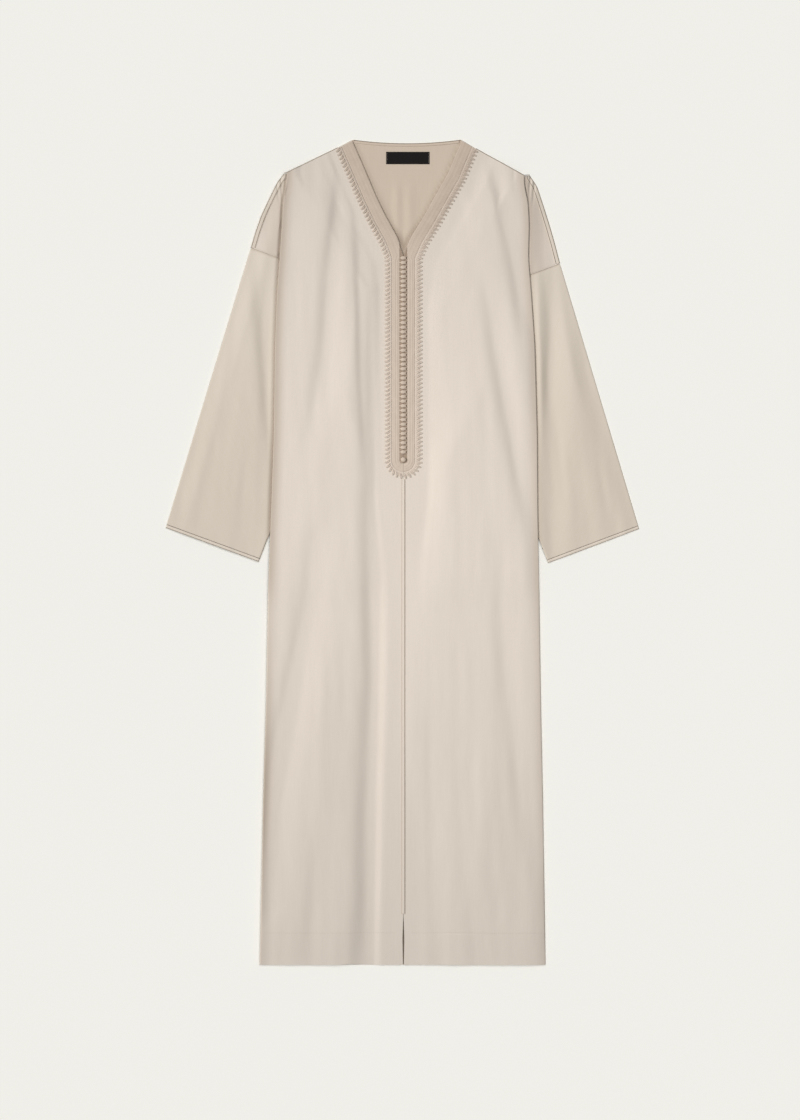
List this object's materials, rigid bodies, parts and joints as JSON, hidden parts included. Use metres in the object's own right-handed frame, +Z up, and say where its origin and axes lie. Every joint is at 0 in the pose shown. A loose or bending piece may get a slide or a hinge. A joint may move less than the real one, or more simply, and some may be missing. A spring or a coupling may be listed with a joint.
{
  "type": "kandora robe laid flat",
  "caption": "Long pale robe with a V neck, braided placket with knot buttons, wide dropped sleeves and a front hem slit, laid flat face up on a surface.",
  "frame": {"origin": "bottom centre of the bounding box, on the surface that the robe lies on", "axes": "+Y towards the neck, +Z up out of the surface, +X to the right as the robe is seen from above"},
  "size_m": [0.8056, 1.404, 0.0136],
  "materials": {
    "cloth": "smooth twill with a soft satin sheen",
    "trim": "braided cord and ribbon, matt",
    "knot": "wound cord knots, matt",
    "label": "woven, blank"
  },
  "bodies": {
    "root": {"front_left": "cloth", "front_right": "cloth", "back": "cloth", "sleeve_left": "cloth", "sleeve_right": "cloth", "cuff_binding_left": "trim", "cuff_binding_right": "trim", "neck_band_left": "trim", "neck_band_right": "trim", "toothed_edging_left": "trim", "toothed_edging_right": "trim", "shoulder_ribbon_left": "trim", "shoulder_ribbon_right": "trim", "centre_seam_braid": "trim", "back_neck_binding": "trim", "neck_label": "label", "end_button": "knot", "knot_button_01": "knot", "knot_button_02": "knot", "knot_button_03": "knot", "knot_button_04": "knot", "knot_button_05": "knot", "knot_button_06": "knot", "knot_button_07": "knot", "knot_button_08": "knot", "knot_button_09": "knot", "knot_button_10": "knot", "knot_button_11": "knot", "knot_button_12": "knot", "knot_button_13": "knot", "knot_button_14": "knot", "knot_button_15": "knot", "knot_button_16": "knot", "knot_button_17": "knot", "knot_button_18": "knot", "knot_button_19": "knot", "knot_button_20": "knot", "knot_button_21": "knot", "knot_button_22": "knot", "knot_button_23": "knot", "knot_button_24": "knot", "knot_button_25": "knot", "knot_button_26": "knot", "knot_button_27": "knot", "knot_button_28": "knot", "knot_button_29": "knot", "knot_button_30": "knot", "knot_button_31": "knot", "knot_button_32": "knot", "knot_button_33": "knot", "knot_button_34": "knot", "knot_button_35": "knot", "knot_button_36": "knot", "knot_button_37": "knot", "knot_button_38": "knot", "knot_button_39": "knot", "knot_button_40": "knot", "knot_button_41": "knot", "knot_button_42": "knot", "knot_button_43": "knot"}
  },
  "joints": []
}
